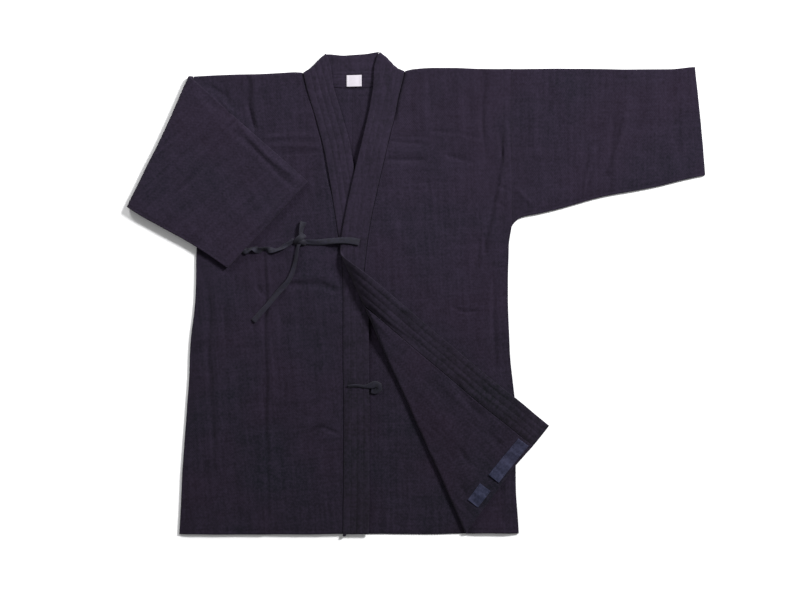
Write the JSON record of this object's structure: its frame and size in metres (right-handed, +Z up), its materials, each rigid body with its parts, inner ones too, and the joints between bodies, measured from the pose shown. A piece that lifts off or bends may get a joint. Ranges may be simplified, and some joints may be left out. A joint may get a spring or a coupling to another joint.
{
  "type": "kendo practice jacket",
  "caption": "Kendo practice jacket in indigo woven cotton, laid flat, with one sleeve folded over the chest and one lower front corner turned back.",
  "frame": {"origin": "centre of the bounding box, on the surface that the jacket lies on", "axes": "+X towards the wearer's left, +Y from the hem towards the shoulders, +Z up from the surface through the front"},
  "size_m": [1.0682, 0.8946, 0.0271],
  "materials": {
    "indigo_cotton": "dark indigo woven cotton, matt",
    "band_cotton": "dark indigo twill band with rows of stitching, matt",
    "tie_cotton": "indigo cotton tape, matt",
    "tape": "blue woven tape, slight sheen",
    "label": "white woven label, bare"
  },
  "bodies": {
    "root": {"body_right": "indigo_cotton", "body_left": "indigo_cotton", "sleeve_right": "indigo_cotton", "sleeve_left": "indigo_cotton", "lapel_right": "band_cotton", "lapel_left": "band_cotton", "collar_back": "band_cotton", "label": "label", "hem_tape_long": "tape", "hem_tape_short": "tape", "chest_tie_left": "tie_cotton", "chest_tie_tail": "tie_cotton", "chest_tie_ear": "tie_cotton", "chest_tie_right": "tie_cotton", "chest_knot": "tie_cotton", "inner_tie": "tie_cotton", "inner_tie_knot": "tie_cotton"}
  },
  "joints": []
}
